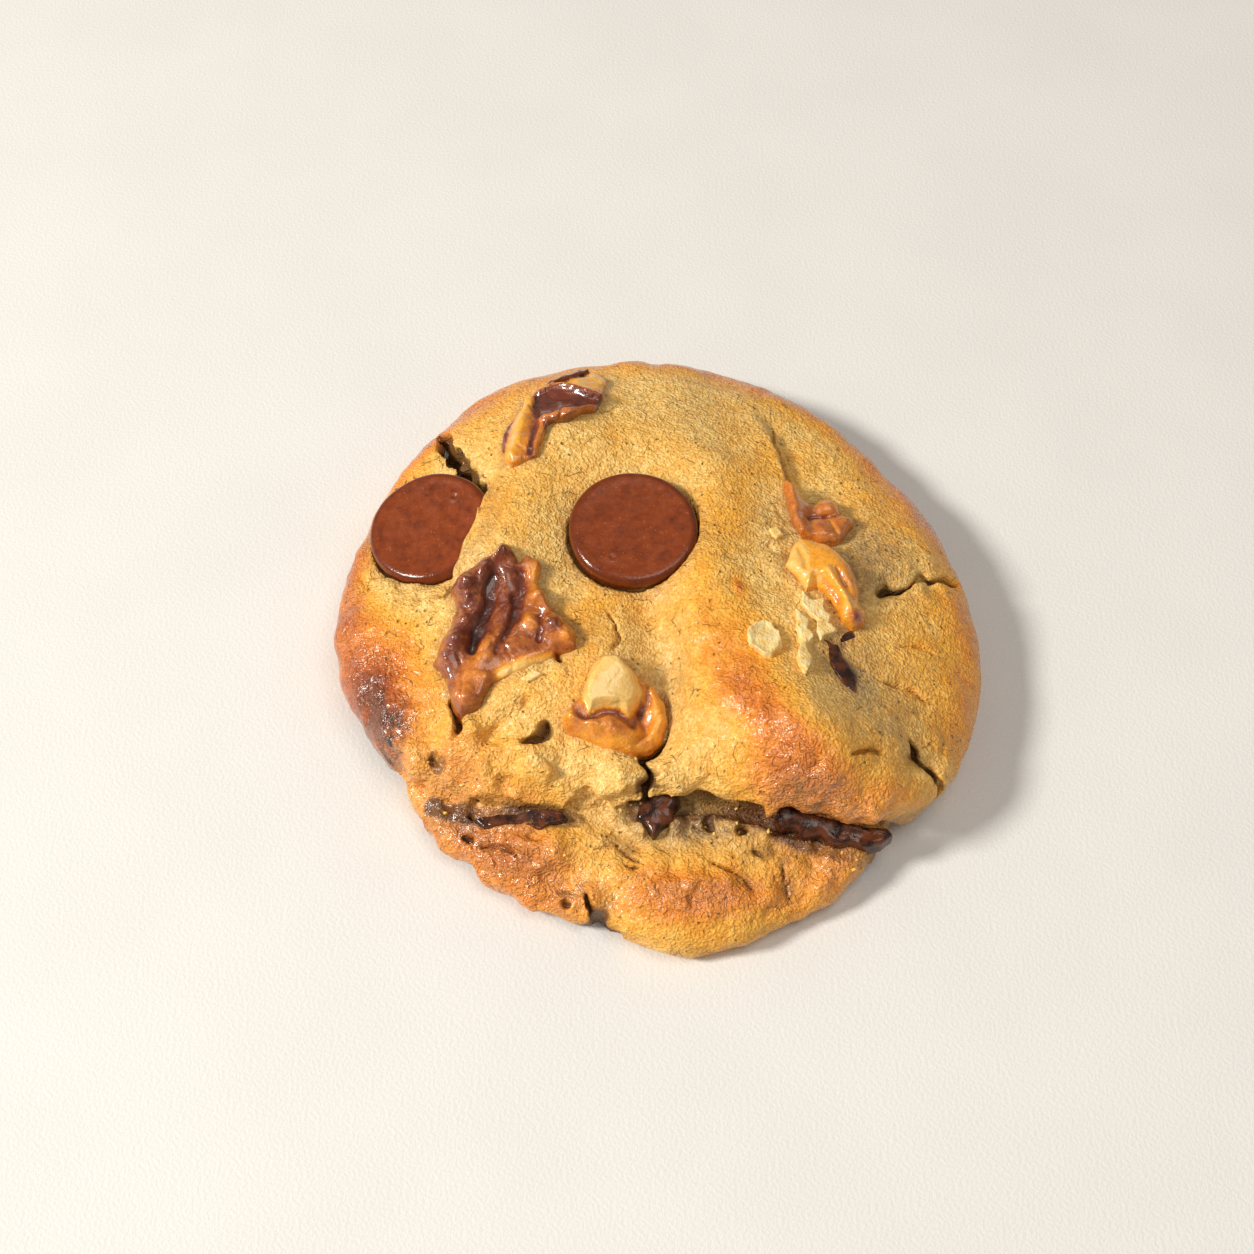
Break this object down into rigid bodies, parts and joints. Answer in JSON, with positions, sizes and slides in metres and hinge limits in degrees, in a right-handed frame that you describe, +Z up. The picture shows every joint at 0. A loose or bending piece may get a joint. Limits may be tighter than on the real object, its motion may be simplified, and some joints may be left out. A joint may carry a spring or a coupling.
{
  "type": "chocolate chip cookie",
  "caption": "Thick domed bakery cookie with flat chocolate discs, walnut pieces, melted chocolate, cracks and a split front edge, lying flat.",
  "frame": {"origin": "the middle of the cookie's footprint, on the floor", "axes": "+Z up out of the domed top, -Y towards the split front edge, +X to the right seen from that edge"},
  "size_m": [0.1134, 0.1191, 0.0269],
  "materials": {
    "dough": "matt baked dough, golden tan, browner on its high places and edges",
    "chocolate_disc": "satin milk chocolate with a glossy rounded edge",
    "melted_chocolate": "glossy dark melted chocolate",
    "walnut_dark": "toasted walnut, dark red-brown and glossy",
    "walnut_light": "toasted walnut, golden brown to cream, glossy"
  },
  "bodies": {
    "root": {"cookie": "dough", "disc_large": "chocolate_disc", "disc_side": "chocolate_disc", "walnut_curl": "walnut_dark", "walnut_dark": "walnut_dark", "walnut_round": "walnut_light", "walnut_red": "walnut_light", "walnut_golden": "walnut_light", "chocolate_lip": "melted_chocolate", "chocolate_front": "melted_chocolate", "chocolate_left": "melted_chocolate", "chocolate_top": "melted_chocolate"}
  },
  "joints": []
}
